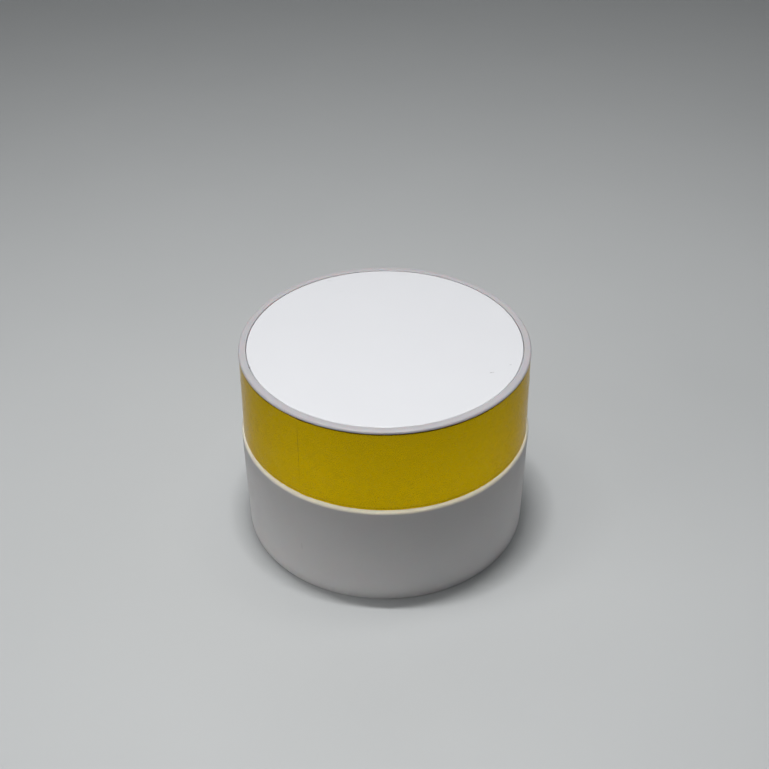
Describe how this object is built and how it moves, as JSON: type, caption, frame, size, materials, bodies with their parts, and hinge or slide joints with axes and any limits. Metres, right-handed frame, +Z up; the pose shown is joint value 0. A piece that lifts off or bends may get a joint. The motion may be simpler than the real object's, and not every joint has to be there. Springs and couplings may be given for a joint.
{
  "type": "cosmetic cream jar",
  "caption": "Squat round screw-top cosmetic jar: double-walled white body, gold-banded lid with an inlaid white disc, foam liner and pull-tab sealing disc.",
  "frame": {"origin": "centre of the base, on the surface the jar stands on", "axes": "+Z up along the jar's axis, +X to the right and +Y away from a viewer who faces the front; the lid's lap seam is left of the front"},
  "size_m": [0.0614, 0.0614, 0.0436],
  "materials": {
    "jar_white": "satin moulded",
    "cup_white": "semi-gloss moulded",
    "seal_translucent": "translucent satin",
    "liner_foam": "fine closed-cell foam with a film face",
    "cap_white": "semi-gloss moulded",
    "rim_plastic": "milky semi-gloss",
    "gold_film": "metallised gold film under clear gloss lacquer",
    "adhesive": "tacky film",
    "disc_white": "semi-gloss, lightly scuffed"
  },
  "bodies": {
    "jar": {"outer_jar": "jar_white", "inner_cup": "cup_white"},
    "liner": {"cap_liner": "liner_foam"},
    "lid": {"inner_cap": "cap_white", "lid_shell": "rim_plastic", "gold_sleeve": "gold_film", "disc_adhesive": "adhesive", "top_disc": "disc_white"},
    "sealing_disc": {"sealing_disc": "seal_translucent"},
    "pull_tab": {"pull_tab": "seal_translucent"}
  },
  "joints": [
    {"name": "lid_lift", "type": "slide", "parent": "jar", "child": "liner", "axis": [0, 0, 1], "range_m": [0, 0.024]},
    {"name": "lid_turn", "type": "hinge", "parent": "liner", "child": "lid", "pos_m": [0, 0, 0.0375], "axis": [0, 0, 1], "range_deg": [0, 1440]},
    {"name": "disc_lift", "type": "slide", "parent": "jar", "child": "sealing_disc", "axis": [0, 0, 1], "range_m": [0, 0.006]},
    {"name": "tab_fold", "type": "hinge", "parent": "sealing_disc", "child": "pull_tab", "pos_m": [0, 0.0061, 0.0377], "axis": [-1, 0, 0], "range_deg": [0, 60]}
  ],
  "couplings": [
    {"joint": "lid_lift", "follows": "lid_turn", "m_per_rad": 0.00095492},
    {"joint": "disc_lift", "follows": "lid_turn", "m_per_rad": 0.00023873},
    {"joint": "tab_fold", "follows": "lid_turn", "ratio": 0.041666}
  ]
}
